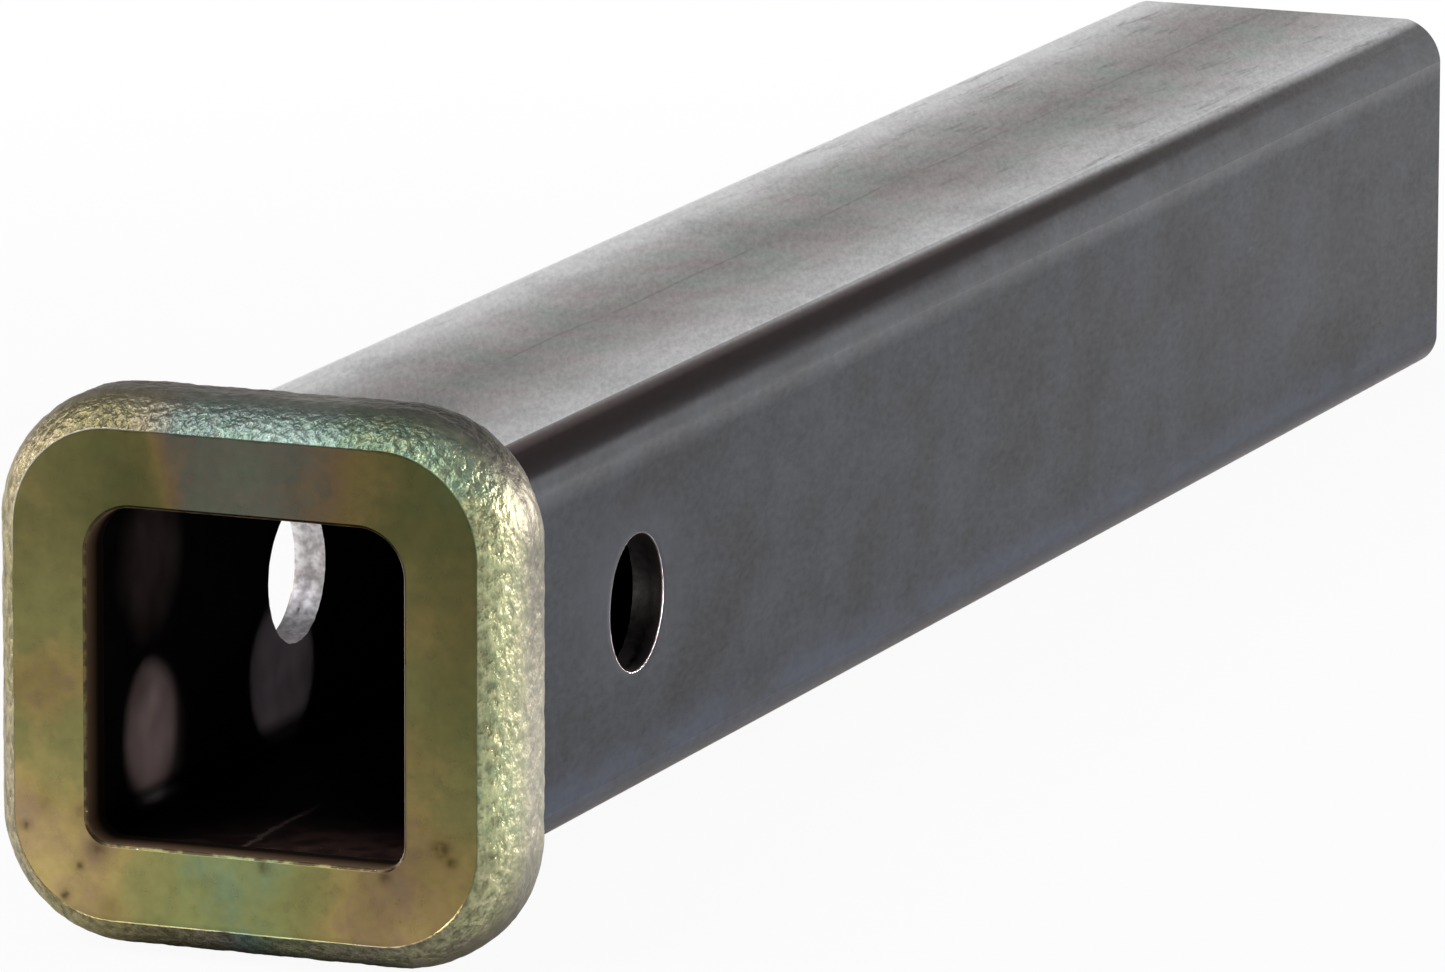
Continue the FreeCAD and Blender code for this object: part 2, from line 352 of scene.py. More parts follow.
def collarProfile(s):
    # rings as (half width, upper radius, lower radius, y, share of forged skin, share of its outer side),
    # from the lip's back over the face and the rim to the socket and back again
    rimY = s["front"] + s["rimDepth"]
    rimCentre, rimRadius, cut = s["rimCentre"], s["rimRadius"], s["openingBreak"]
    faceHalf = rimCentre + math.sqrt(rimRadius ** 2 - s["rimDepth"] ** 2)
    faceRadius = s["cornerRadius"] - (s["half"] - faceHalf)
    upper, lower = s["openingUpper"], s["openingLower"]
    lipRows = spread(s["front"] + s["lip"], s["front"], 4)[:-1] + [s["front"] + cut]
    rings = [(s["openingHalf"], upper, lower, y, 0.0, 0.0) for y in lipRows]
    halves = spread(s["openingHalf"] + cut, faceHalf - s["creaseRound"], s["faceSteps"])
    uppers = spread(upper + cut, faceRadius, s["faceSteps"])
    lowers = spread(lower + cut, faceRadius, s["faceSteps"])
    rings += [(*ring, s["front"], 0.0, 0.0) for ring in zip(halves, uppers, lowers)]

    # the crease, the rim's arc, its side and the rounded back edge, as (half width, y, skin, outer side)
    offset = [(faceHalf - 0.02, s["front"] + 0.02, 0.35, 0.0)]
    start = math.asin((faceHalf - rimCentre) / rimRadius) + s["creaseRound"] / rimRadius
    count = round((math.pi / 2 - start) * rimRadius / s["grainStep"])
    for i, angle in enumerate(spread(start, math.pi / 2, count)):
        half, y = rimCentre + rimRadius * math.sin(angle), rimY - rimRadius * math.cos(angle)
        offset.append((half, y, 1.0, (i / count) ** 2))
    sideEnd = s["back"] - s["backRadius"]
    count = round((sideEnd - rimY) / s["grainStep"])
    offset += [(s["half"], y, 1.0, 1.0) for y in spread(rimY, sideEnd, count)[1:-1]]
    count = round(math.pi / 2 * s["backRadius"] / s["grainStep"])
    for angle in spread(0.0, math.pi / 2, count):
        half = s["half"] - s["backRadius"] * (1 - math.cos(angle))
        offset.append((half, sideEnd + s["backRadius"] * math.sin(angle), 1.0, 1.0))
    for half, y, skin, outer in offset:
        radius = s["cornerRadius"] - (s["half"] - half)
        rings.append((half, radius, radius, y, skin, outer))

    steps = s["backSteps"]
    last = [spread(rings[-1][k], s[key], steps) for k, key in
            enumerate(("socketHalf", "socketUpper", "socketLower"))]
    rings += [(*ring, s["back"], 1.0 - (i + 1) / steps, 1.0) for i, ring in enumerate(list(zip(*last))[1:])]
    rings.append((s["socketHalf"], s["socketUpper"], s["socketLower"], s["front"] + s["lip"], 0.0, 1.0))
    return rings


# Where the plating's film changes colour: x, z and reach in mm, film from 0 to 1 along filmColours, and how
# light it is, which holds painted light: the face's lower part is painted several times lighter than its top
facePatches = [
    (-20, 18, 5, 0.26, 0.99), (-14, 20, 4, 0.10, 0.70), (-11, 17, 3, 0.03, 0.51), (-5, 19, 5, 0.60, 0.67),
    (1, 18, 4, 0.60, 0.86), (6, 20, 4, 0.54, 0.66), (10, 19, 4, 0.53, 0.52), (15, 17, 5, 0.05, 0.68),
    (19, 12, 4, 0.22, 0.66), (20, 7, 4, 0.34, 0.64), (20, 0, 5, 0.10, 1.00), (17, -5, 2.5, 0.55, 0.77),
    (20, -8, 4, 0.14, 1.5), (17, -12, 3, 0.52, 1.00), (20, -15, 3, 0.32, 1.08), (19, -19, 4, 0.38, 1.62),
    (13, -20, 4, 0.52, 0.95), (9, -19, 3, 0.26, 1.95), (5, -19, 3, 0.05, 2.6), (-2, -19, 5, 0.02, 2.6),
    (-8, -19, 3, 0.09, 2.15), (-11, -20, 3, 0.17, 2.9), (-14, -17, 3, 0.57, 0.95),
    (-18, -17, 4, 0.34, 2.4), (-21, -13, 3, 0.51, 1.67), (-19, -7, 4, 0.18, 1.58),
    (-20, -1, 3, 0.52, 0.70), (-20, 5, 4, 0.17, 1.48), (-19, 11, 4, 0.24, 0.90),
    (-15, -22.6, 2, 0.44, 1.6), (-6, -22.8, 2.5, 0.1, 3.6), (3, -22.8, 2.5, 0.09, 3.2),
    (10, -22.8, 2.5, 0.4, 2.4), (16, -22.2, 2.5, 0.4, 2.7), (16.6, 11, 2, 0.3, 0.95),
    (16.6, 6, 2, 0.42, 1.0), (16.6, 1, 2, 0.16, 1.4),
]
# the rim's: film, then how light at the crease, midway and on the outer side, partly painted shade that
# darkens its bottom
rimPatches = [
    (25, 10, 5, 0.87, 0.95, 1.45, 0.56), (25, 0, 5, 0.87, 0.80, 1.15, 0.86),
    (25, -9, 4, 0.84, 1.00, 1.45, 0.94), (24, -18, 4, 0.92, 0.72, 1.10, 0.68),
    (17, -25, 4, 0.95, 0.55, 0.68, 0.50), (5, -25, 6, 0.95, 0.50, 0.58, 0.50),
    (-8, -25, 6, 0.24, 0.48, 0.50, 0.46), (-17, -25, 4, 0.25, 1.05, 1.16, 1.1),
    (-25, -12, 6, 0.36, 0.98, 0.82, 1.12), (-25, 5, 6, 0.28, 0.98, 0.88, 0.84),
    (-23, 19, 4, 0.34, 1.02, 0.98, 0.94), (-14, 25, 4, 0.25, 0.74, 0.88, 0.48),
    (-5, 25, 4, 0.67, 1.25, 1.02, 0.58), (5, 25, 4, 0.66, 1.65, 1.02, 0.74),
    (13, 25, 3, 0.79, 1.10, 0.80, 0.30), (20, 21, 3, 0.77, 1.65, 1.25, 0.34),
    (24.5, 16, 3, 0.88, 1.15, 1.0, 0.5),
]
# brown stains and dark specks on the face: x, z, reach in mm, and strength
stains = [
    (-16.2, -13.2, 1.5, 0.5), (-14.8, -16.4, 1.2, 0.6), (-20.0, -12.4, 1.4, 0.4),
    (-22.0, -14.8, 0.5, 0.8), (19.6, -13.4, 0.9, 0.9), (20.6, -14.6, 0.6, 0.7), (2.0, -16.6, 0.7, 0.8),
    (-18.1, -21.0, 0.45, 1.0), (-16.6, -18.2, 0.5, 0.7), (-13.4, -21.6, 1.0, 0.4),
    (14.0, -16.5, 0.7, 0.6),
]


def weighPatches(patches, x, z):
    # film and tone at a place, blended softly between the patches
    softness = 1.6
    weights = [math.exp(-((x - px) ** 2 + (z - pz) ** 2) / (softness * reach * reach)) + 1e-6
               for px, pz, reach, *_ in patches]
    total = sum(weights)
    return [sum(w * patch[k] for w, patch in zip(weights, patches)) / total
            for k in range(3, len(patches[0]))]


def weighFilm(x, z, outer):
    # the patches' edges wander by about a millimetre, in cells of 4 mm
    driftCell, driftReach = 4, 1.6
    drift = noise.noise_vector(Vector((x / driftCell, z / driftCell, 0))) * driftReach
    film, toneAndLight = weighPatches(facePatches, x + drift.x, z + drift.y)
    rimFilm, atCrease, midway, outside = weighPatches(rimPatches, x + drift.x, z + drift.y)
    across = math.sqrt(max(outer, 0.0))
    midwayAt = 0.4
    if across < midwayAt:
        rimToneAndLight = atCrease + (midway - atCrease) * across / midwayAt
    else:
        rimToneAndLight = midway + (outside - midway) * (across - midwayAt) / (1 - midwayAt)
    stain = max(strength * math.exp(-((x - px) ** 2 + (z - pz) ** 2) / (reach * reach))
                for px, pz, reach, strength in stains)
    return film, toneAndLight, stain, rimFilm, rimToneAndLight


def forgedSkinTree():
    # pushes the forged skin in and out with a stretched grain and with shallow pits
    tree, add, given = newTree("forgedSkin", ["Grain", "Stretch", "Height", "Pit height"])
    skin = add("GeometryNodeInputNamedAttribute", {"Name": "forged"}, data_type="FLOAT")
    place = add("GeometryNodeInputPosition")
    along = add("Math", (given["Grain"], given["Stretch"]), operation="MULTIPLY")
    cell = add("CombineXYZ", {"X": given["Grain"], "Y": given["Grain"], "Z": along})
    scaled = add("VectorMath", (place, cell), operation="DIVIDE")
    grain = add("TexNoise", {"Vector": scaled, "Scale": 1.0, "Detail": 2.0, "Roughness": 0.5})
    centred = add("Math", (grain, 0.5), operation="SUBTRACT")
    bumps = add("Math", (centred, given["Height"]), operation="MULTIPLY")
    pitCell = add("VectorMath", {0: scaled, "Scale": collarSizes["pitCells"]}, operation="SCALE")
    pits = add("TexNoise", {"Vector": pitCell, "Scale": 1.0, "Detail": 1.0})
    deep = add("MapRange", (pits, 0.35, 0.6, -1.0, 0.0), interpolation_type="SMOOTHSTEP")
    pitted = add("Math", (deep, given["Pit height"]), operation="MULTIPLY")
    total = add("Math", (bumps, pitted), operation="ADD")
    masked = add("Math", (total, skin), operation="MULTIPLY")
    pushSkin(add, given, masked)
    return tree


def makeCollar(material):
    s = collarSizes
    profile = collarProfile(s)
    shape = bmesh.new()
    skinLayer = shape.verts.layers.float.new("forged")
    outerLayer = shape.verts.layers.float.new("outer")
    wallLayer = shape.verts.layers.float.new("wall")
    rings = []
    for half, upper, lower, y, skin, outer in profile:
        ring = addRing(shape, outline(half, upper, lower, s["cornerSteps"], s["flatSteps"]), y)
        for vert in ring:
            vert[skinLayer] = skin
            vert[outerLayer] = outer
            vert[wallLayer] = 1.0 if half <= s["openingHalf"] else 0.0
        rings.append(ring)
    for a, b in zip(rings, rings[1:] + rings[:1]):
        joinRings(shape, a, b)
    collar = finishMesh(shape, "zincCollar", [material], sharpAngle=40.0)
    values = {"Grain": s["grain"] * mm, "Stretch": s["stretch"], "Height": s["height"] * mm,
              "Pit height": s["pitHeight"] * mm, "Material": material}
    bakeTree(collar, forgedSkinTree(), values)
    outers = collar.data.attributes["outer"].data
    films = [weighFilm(vert.co.x / mm, vert.co.z / mm, outers[vert.index].value)
             for vert in collar.data.vertices]
    for name, values in zip(("film", "toneAndLight", "stain", "rimFilm", "rimToneAndLight"), zip(*films)):
        attribute = collar.data.attributes.new(name, "FLOAT", "POINT")
        attribute.data.foreach_set("value", values)
    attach(collar, "root")
    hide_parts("collar")
    return collar


# Weld bead. Sizes in mm.
weldSizes = {
    "tubeHalf": tubeHigh.x / mm, "back": collarHigh.y / mm,
    "rise": (weldHigh.x - tubeHigh.x) / mm, "leg": (weldHigh.y - weldLow.y) / mm,
    "crown": 0.4, "sink": 0.06,      # how far its hidden faces lie inside the metal that they are fused to
    "crownSteps": 14, "cornerSteps": 64, "flatSteps": 236, "upperRadius": 4.76, "lowerRadius": 3.4,
    "pitch": 1.5, "height": 0.22, "crescent": 1.3, "wander": 0.9,
    "driftCells": 160.0, "lumpCells": 420.0,         # per m
    "lumps": 0.5, "sunkBy": 0.8,                     # as shares of the height
}


def weldRippleTree():
    # stacked ripples across the bead: each one rounded, with a sharp valley, bowed along the torch's travel
    tree, add, given = newTree("weldRipples", ["Pitch", "Height", "Crescent", "Wander"])
    along = add("GeometryNodeInputNamedAttribute", {"Name": "along"}, data_type="FLOAT")
    across = add("GeometryNodeInputNamedAttribute", {"Name": "across"}, data_type="FLOAT")
    centred = add("Math", (across, 0.5), operation="SUBTRACT")
    bowed = add("Math", (centred, centred), operation="MULTIPLY")
    bow = add("Math", (bowed, given["Crescent"], along), operation="MULTIPLY_ADD")
    place = add("GeometryNodeInputPosition")
    drift = add("TexNoise", {"Vector": place, "Scale": weldSizes["driftCells"], "Detail": 1.0})
    shifted = add("Math", (drift, given["Wander"], bow), operation="MULTIPLY_ADD")
    turns = add("Math", (shifted, given["Pitch"]), operation="DIVIDE")
    angle = add("Math", (turns, math.pi), operation="MULTIPLY")
    wave = add("Math", {0: angle}, operation="SINE")
    hump = add("Math", {0: wave}, operation="ABSOLUTE")
    fade = add("MapRange", (bowed, 0.25, 0.12, 0.0, 1.0))
    lump = add("TexNoise", {"Vector": place, "Scale": weldSizes["lumpCells"], "Detail": 2.0})
    body = add("Math", (lump, weldSizes["lumps"], hump), operation="MULTIPLY_ADD")
    lowered = add("Math", (body, weldSizes["sunkBy"]), operation="SUBTRACT")
    tall = add("Math", (lowered, given["Height"]), operation="MULTIPLY")
    masked = add("Math", (tall, fade), operation="MULTIPLY")
    pushSkin(add, given, masked)
    return tree


def makeWeld(material):
    s = weldSizes
    head = (s["tubeHalf"] + s["rise"], s["back"])
    toe = (s["tubeHalf"], s["back"] + s["leg"])
    lean = Vector((s["leg"], s["rise"])).normalized()
    sunk = s["back"] - s["sink"]
    profile = [(s["tubeHalf"] - s["sink"], sunk, 0.0), (head[0], sunk, 0.0)]
    for share in spread(0.0, 1.0, s["crownSteps"]):
        bulge = s["crown"] * 4 * share * (1 - share)
        profile.append((head[0] + (toe[0] - head[0]) * share + lean.x * bulge,
                        head[1] + (toe[1] - head[1]) * share + lean.y * bulge, share))
    profile.append((toe[0] - s["sink"], toe[1], 1.0))
    shape = bmesh.new()
    alongLayer = shape.verts.layers.float.new("along")
    acrossLayer = shape.verts.layers.float.new("across")
    middle = outline(s["tubeHalf"], s["upperRadius"], s["lowerRadius"], s["cornerSteps"], s["flatSteps"])
    lengths = [0.0]
    for (x0, z0), (x1, z1) in zip(middle, middle[1:] + middle[:1]):
        lengths.append(lengths[-1] + math.hypot(x1 - x0, z1 - z0))
    whole = round(lengths[-1] / s["pitch"]) * s["pitch"] / lengths[-1]      # a whole number of ripples
    rings = []
    for half, y, across in profile:
        upper, lower = (s[key] + half - s["tubeHalf"] for key in ("upperRadius", "lowerRadius"))
        ring = addRing(shape, outline(half, upper, lower, s["cornerSteps"], s["flatSteps"]), y)
        for vert, length in zip(ring, lengths):
            vert[alongLayer] = length * whole * mm
            vert[acrossLayer] = across
        rings.append(ring)
    for a, b in zip(rings, rings[1:] + rings[:1]):
        joinRings(shape, a, b)
    bead = finishMesh(shape, "weldBead", [material], sharpAngle=60.0)
    values = {"Pitch": s["pitch"] * mm, "Height": s["height"] * mm, "Crescent": s["crescent"] * 4 * mm,
              "Wander": s["wander"] * mm, "Material": material}
    bakeTree(bead, weldRippleTree(), values)
    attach(bead, "root")
    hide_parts("collar_weld")
    return bead


# Materials. Every piece is bare or plated metal.
def placeInMm(add):
    # the place on the piece in mm
    coords = add("TexCoord", out="Object")
    return add("VectorMath", {0: coords, "Scale": 1 / mm}, operation="SCALE")


def whereAll(add, first, *others):
    # the share of a place where all of these hold
    for share in others:
        first = add("Math", (first, share), operation="MULTIPLY")
    return first


def fromAxis(add, parts, operation):
    # the larger or the smaller of the distances from the tube's axis sideways and upwards, and both of them
    sizeX = add("Math", {0: parts["X"]}, operation="ABSOLUTE")
    sizeZ = add("Math", {0: parts["Z"]}, operation="ABSOLUTE")
    return add("Math", (sizeX, sizeZ), operation=operation), sizeX, sizeZ


def finishMetal(material, add, inputs):
    shader = add("BsdfPrincipled", {"Metallic": 1.0, **inputs})
    add("OutputMaterial", {0: shader})
    return material


def makeMillScale():
    # Cold-formed steel tube with its rolling scale: a dark oxide skin that shines only at a low angle,
    # rolled bright towards the corners, with streaks along the length and a dull seam down the top
    material, add = newMaterial("rolledScaleSteel")
    look = {
        "dark": "#17181b", "pale": "#2d2e32", "blueDark": "#13171f", "bluePale": "#2c313c",
        "burnished": "#c6c7ca", "burnishLitLeft": "#e6e7e8", "lowBlue": "#28344a",
        "warm": "#fcf9f6", "blush": "#fdf5f4", "leaf": "#f5faf4", "rose": "#4a3634", "green": "#303a33",
        "seam": "#191715", "wisp": "#141311", "grime": "#a39c94",
        "heatBrown": "#3a2c22", "heatBlue": "#30374e", "straw": "#6a5a3c",
    }
    seamX, seamHalf = -0.7, 2.6       # mm
    inMm = placeInMm(add)
    parts = add("SeparateXYZ", {0: inMm}, out=None)
    across, sizeX, sizeZ = fromAxis(add, parts, "MINIMUM")
    lean = add("Math", (sizeZ, sizeX), operation="SUBTRACT")
    topness = add("MapRange", (lean, -1.5, 1.5))

    # wisps 2.4 mm wide and 13 mm long on top, clouds of 13 by 6.5 mm on the sides
    alongCells = add("Mapping", {"Vector": inMm, "Rotation": (0, 0, 0.05),
                                 "Scale": (1 / 2.4, 1 / 13, 1 / 2.4)})
    alongWisps = add("TexNoise", {"Vector": alongCells, "Scale": 1.0, "Detail": 5.0, "Roughness": 0.62})
    uprightCells = add("Mapping", {"Vector": inMm, "Scale": (1 / 9, 1 / 13, 1 / 6.5)})
    uprightClouds = add("TexNoise", {"Vector": uprightCells, "Scale": 1.0, "Detail": 6.0, "Roughness": 0.62})
    softWisps = add("MapRange", {"Value": alongWisps, 3: 0.25, 4: 0.75})
    streaks = add("Mix", {0: topness, 2: uprightClouds, 3: softWisps}, data_type="FLOAT")
    clouds = add("TexNoise", {"Vector": inMm, "Scale": 1 / 16, "Detail": 5.0})
    # speckle, on top drawn out aslant so that it still shows at a low angle
    leaned = add("Math", (parts["Y"], 0.4, parts["X"]), operation="MULTIPLY_ADD")
    drawnOut = add("Math", (parts["Y"], 0.22), operation="MULTIPLY")
    topPlace = add("CombineXYZ", {"X": leaned, "Y": drawnOut, "Z": parts["Z"]})
    speckle = add("TexNoise", {"Vector": topPlace, "Scale": 1 / 0.45, "Detail": 3.0, "Roughness": 0.7})
    evenCells = add("Mapping", {"Vector": inMm, "Scale": (1 / 0.6, 1 / 1.3, 1 / 0.6)})
    evenGrain = add("TexNoise", {"Vector": evenCells, "Scale": 1.0, "Detail": 4.0, "Roughness": 0.7})
    softSpeckle = add("MapRange", {"Value": speckle, 3: 0.1, 4: 0.9})
    softGrain = add("MapRange", {"Value": evenGrain, 3: 0.18, 4: 0.82})
    grain = add("Mix", {0: topness, 2: softGrain, 3: softSpeckle}, data_type="FLOAT")
    summed = add("Math", (streaks, clouds), operation="ADD")
    mottle = add("Math", (grain, 0.5, summed), operation="MULTIPLY_ADD")
    mottled = add("MapRange", (mottle, 1.0, 1.5))
    sideScale = add("ValToRGB", {0: mottled}, stops=[(0.0, look["blueDark"]), (1.0, look["bluePale"])])
    topScale = add("ValToRGB", {0: mottled}, stops=[(0.0, look["dark"]), (1.0, look["pale"])])
    scale = add("Mix", {0: topness, 6: sideScale, 7: topScale}, data_type="RGBA", out=2)

    # faint interference tints of the oxide, in patches of 13 mm
    tintNoise = add("TexNoise", {"Vector": inMm, "Scale": 1 / 13, "Detail": 3.0})
    tints = add("ValToRGB", {0: tintNoise}, stops=[(0.36, look["green"]), (0.5, look["pale"]),
                                                   (0.62, look["rose"])])
    tintShare = add("MapRange", {"Value": topness, 3: 0.0, 4: 0.16})

    # the rolls leave the top's flat bright towards its edges, and the sides only next to the corners
    wide = add("MapRange", (sizeX, 0.5, 16.5, 0.15), interpolation_type="SMOOTHSTEP")
    onFlat = add("MapRange", (sizeZ, tubeSizes["half"] - 0.6, tubeSizes["half"] - 0.12, 0.16, 1.0))
    # painted light: the top's left edge is painted up to a quarter lighter, and its burnish a paler grey
    paintedLightLeft = add("MapRange", (parts["X"], -8.0, -15.0, 1.0, 1.25))
    topBright = whereAll(add, wide, paintedLightLeft, onFlat)
    nearCorner = add("MapRange", (across, 12.6, 14.8, 0.0, 0.16))
    # painted shade: next to the lower corners the sides are painted darker
    litUpperSide = add("MapRange", (parts["Z"], -4.0, 4.0, 0.2, 1.0))
    sideBright = add("Math", (nearCorner, litUpperSide), operation="MULTIPLY")
    broken = add("MapRange", (mottle, 0.9, 1.5, 0.75, 1.1))
    bright = add("Mix", {0: topness, 2: sideBright, 3: topBright}, data_type="FLOAT")
    burnish = add("Math", (bright, broken), operation="MULTIPLY")
    litLeft = add("MapRange", (parts["X"], -10.0, -14.0))
    burnished = add("Mix", {0: litLeft, 6: look["burnished"], 7: look["burnishLitLeft"]}, data_type="RGBA",
                    out=2)

    # a blue oxide in patches along the sides' lower edge
    lowHere = add("MapRange", (parts["Z"], -11.5, -15.5))
    bluePatches = add("MapRange", (uprightClouds, 0.32, 0.54))
    blueHere = add("Math", (lowHere, bluePatches), operation="MULTIPLY")

    # seam down the top: a dull band with a scarfing line that wanders and comes and goes
    offSeam = add("Math", (parts["X"], seamX), operation="SUBTRACT")
    seamGap = add("Math", {0: offSeam}, operation="ABSOLUTE")
    band = add("MapRange", (seamGap, seamHalf, 0.5, 0.0, 0.1), interpolation_type="SMOOTHSTEP")
    stretchCells = add("Mapping", {"Vector": inMm, "Scale": (1 / 30, 1 / 18, 1 / 30)})
    wander = add("TexNoise", {"Vector": stretchCells, "Scale": 1.0, "Detail": 4.0})
    bent = add("Math", (wander, 2.0, offSeam), operation="MULTIPLY_ADD")
    toLine = add("Math", (bent, 1.2), operation="SUBTRACT")
    lineGap = add("Math", {0: toLine}, operation="ABSOLUTE")
    line = add("MapRange", (lineGap, 0.3, 0.06, 0.0, 0.5))
    shown = add("MapRange", (clouds, 0.4, 0.5))
    lines = add("Math", (line, shown), operation="MULTIPLY")
    seam = add("Math", (band, lines), operation="MAXIMUM")
    upper = add("Math", (parts["Z"], 15.0), operation="GREATER_THAN")
    onTop = add("Math", (seam, upper), operation="MULTIPLY")

    # dark wisps towards the rear end of the top, slanting a little
    wispCells = add("Mapping", {"Vector": inMm, "Rotation": (0, 0, 0.14), "Scale": (1 / 1.6, 1 / 15, 1.0)})
    wispNoise = add("TexNoise", {"Vector": wispCells, "Scale": 1.0, "Detail": 6.0, "Roughness": 0.68})
    wisps = add("MapRange", (wispNoise, 0.55, 0.7, 0.0, 0.55))
    nearRear = add("MapRange", (parts["Y"], 90.0, 160.0, 0.25, 1.0))
    wispTop = whereAll(add, wisps, nearRear, topness)

    # temper colours beside the weld: brown, blue, then straw over 6 mm
    fromWeld = add("MapRange", (parts["Y"], weldHigh.y / mm, weldHigh.y / mm + 6))
    temper = add("ValToRGB", {0: fromWeld}, stops=[(0.0, look["heatBrown"]), (0.35, look["heatBlue"]),
                                                   (0.75, look["straw"])])
    heat = add("MapRange", (fromWeld, 0.3, 1.0, 0.8, 0.0))

    # all of these over one another
    colour = scale
    for share, over in ((tintShare, tints), (blueHere, look["lowBlue"]), (burnish, burnished),
                        (onTop, look["seam"]), (wispTop, look["wisp"]), (heat, temper)):
        colour = add("Mix", {0: share, 6: colour, 7: over}, data_type="RGBA", out=2)

    # at a low angle the top's middle mirrors warm, with faint pink and green patches of 9 mm
    patchNoise = add("TexNoise", {"Vector": inMm, "Scale": 1 / 9, "Detail": 3.0})
    patches = add("ValToRGB", {0: patchNoise}, stops=[(0.38, look["leaf"]), (0.5, look["warm"]),
                                                      (0.62, look["blush"])])
    middle = add("MapRange", (sizeX, 15.0, 6.0))
    warmHere = add("Math", (middle, topness), operation="MULTIPLY")
    plainTint = add("Mix", {0: warmHere, 6: (1, 1, 1, 1), 7: patches}, data_type="RGBA", out=2)
    # and the seam, the wisps and the speckle dull it
    grimy = add("Math", (onTop, 0.4), operation="MULTIPLY")
    grime = add("Math", (wispTop, 0.4, grimy), operation="MULTIPLY_ADD")
    specks = add("MapRange", (grain, 0.35, 0.6, 0.22, 0.0))
    dulling = add("Math", (grime, specks), operation="ADD")
    edgeTint = add("Mix", {0: dulling, 6: plainTint, 7: look["grime"]}, data_type="RGBA", out=2)
    skinRough = add("MapRange", (mottle, 0.9, 1.6, 0.26, 0.17))
    # the corners are rolled smoothest
    onCorner = add("MapRange", (across, 14.6, 15.6, 1.0, 0.55))
    rough = add("Math", (skinRough, onCorner), operation="MULTIPLY")
    waves = add("Bump", {"Strength": 0.5, "Distance": 0.03 * mm, "Height": clouds})
    skin = add("Bump", {"Strength": 0.4, "Distance": 0.01 * mm, "Height": grain, "Normal": waves})
    return finishMetal(material, add, {"Base Color": colour, "Roughness": rough, "Specular Tint": edgeTint,
                                       "Normal": skin})


def makeCutSteel():
    # bare steel where the tube was sawn and punched: bright, with fine parallel saw marks 0.5 mm apart
    material, add = newMaterial("bareCutSteel")
    look = {"bright": "#a8a6a2", "dull": "#5c5752", "rust": "#6b4a32"}
    inMm = placeInMm(add)
    cells = add("Mapping", {"Vector": inMm, "Rotation": (0, 0.25, 0), "Scale": (1 / 22, 1 / 1.6, 1 / 0.5)})
    marks = add("TexNoise", {"Vector": cells, "Scale": 1.0, "Detail": 3.0})
    spots = add("TexNoise", {"Vector": inMm, "Scale": 1 / 2.2, "Detail": 5.0})
    steel = add("ValToRGB", {0: marks}, stops=[(0.3, look["dull"]), (0.6, look["bright"])])
    rust = add("MapRange", (spots, 0.56, 0.7, 0.0, 0.5))
    colour = add("Mix", {0: rust, 6: steel, 7: look["rust"]}, data_type="RGBA", out=2)
    rough = add("MapRange", (spots, 0.3, 0.7, 0.3, 0.5))
    bump = add("Bump", {"Strength": 0.6, "Distance": 0.04 * mm, "Height": marks})
    return finishMetal(material, add, {"Base Color": colour, "Roughness": rough, "Normal": bump})


def makeBoreScale():
    # the bore's scale, never rubbed: dull and nearly black, brown on the floor inside the mouth, with a
    # faint pale line along that floor; painted shade darkens it towards its floor and in its corners
    material, add = newMaterial("dullBoreScale")
    look = {"dark": "#1d1a1a", "pale": "#2e2a2a", "brown": "#7c6058", "paleLine": "#a48e88", "dull": "#707070"}
    inMm = placeInMm(add)
    parts = add("SeparateXYZ", {0: inMm}, out=None)
    spots = add("TexNoise", {"Vector": inMm, "Scale": 1 / 3.0, "Detail": 5.0})
    scale = add("ValToRGB", {0: spots}, stops=[(0.2, look["dark"]), (0.8, look["pale"])])
    floorHere = add("MapRange", (parts["Z"], -15.0, -15.6))
    mouthHere = add("MapRange", (parts["Y"], -30.0, -44.0))
    rightHere = add("MapRange", (parts["X"], -11.0, 3.0))
    patchy = add("MapRange", (spots, 0.4, 0.62, 0.35, 1.0))
    brownShare = whereAll(add, floorHere, mouthHere, rightHere, patchy)
    # painted shade: darker towards the bore's floor
    shade = add("MapRange", (parts["Z"], -13.0, -15.5, 1.0, 0.3))
    shaded = add("VectorMath", {0: scale, "Scale": shade}, operation="SCALE")
    rusty = add("Mix", {0: brownShare, 6: shaded, 7: look["brown"]}, data_type="RGBA", out=2)
    # a faint pale line along the floor inside the mouth
    wavy = add("Math", (spots, 1.6, parts["X"]), operation="MULTIPLY_ADD")
    offset = add("Math", (wavy, 1.2), operation="ADD")
    fromLine = add("Math", {0: offset}, operation="ABSOLUTE")
    paleLine = add("MapRange", (fromLine, 0.5, 0.15, 0.0, 0.5))
    paleLineAlong = add("MapRange", (parts["Y"], -24.0, -32.0))
    paleLineHere = whereAll(add, paleLine, floorHere, paleLineAlong)
    lined = add("Mix", {0: paleLineHere, 6: rusty, 7: look["paleLine"]}, data_type="RGBA", out=2)
    # painted shade: the bore's corners are painted nearly black
    across = fromAxis(add, parts, "MINIMUM")[0]
    cornerShade = add("MapRange", (across, 13.2, 14.6, 1.0, 0.05))
    colour = add("VectorMath", {0: lined, "Scale": cornerShade}, operation="SCALE")
    return finishMetal(material, add, {"Base Color": colour, "Metallic": 0.9, "Roughness": 0.55,
                                       "Specular Tint": look["dull"]})


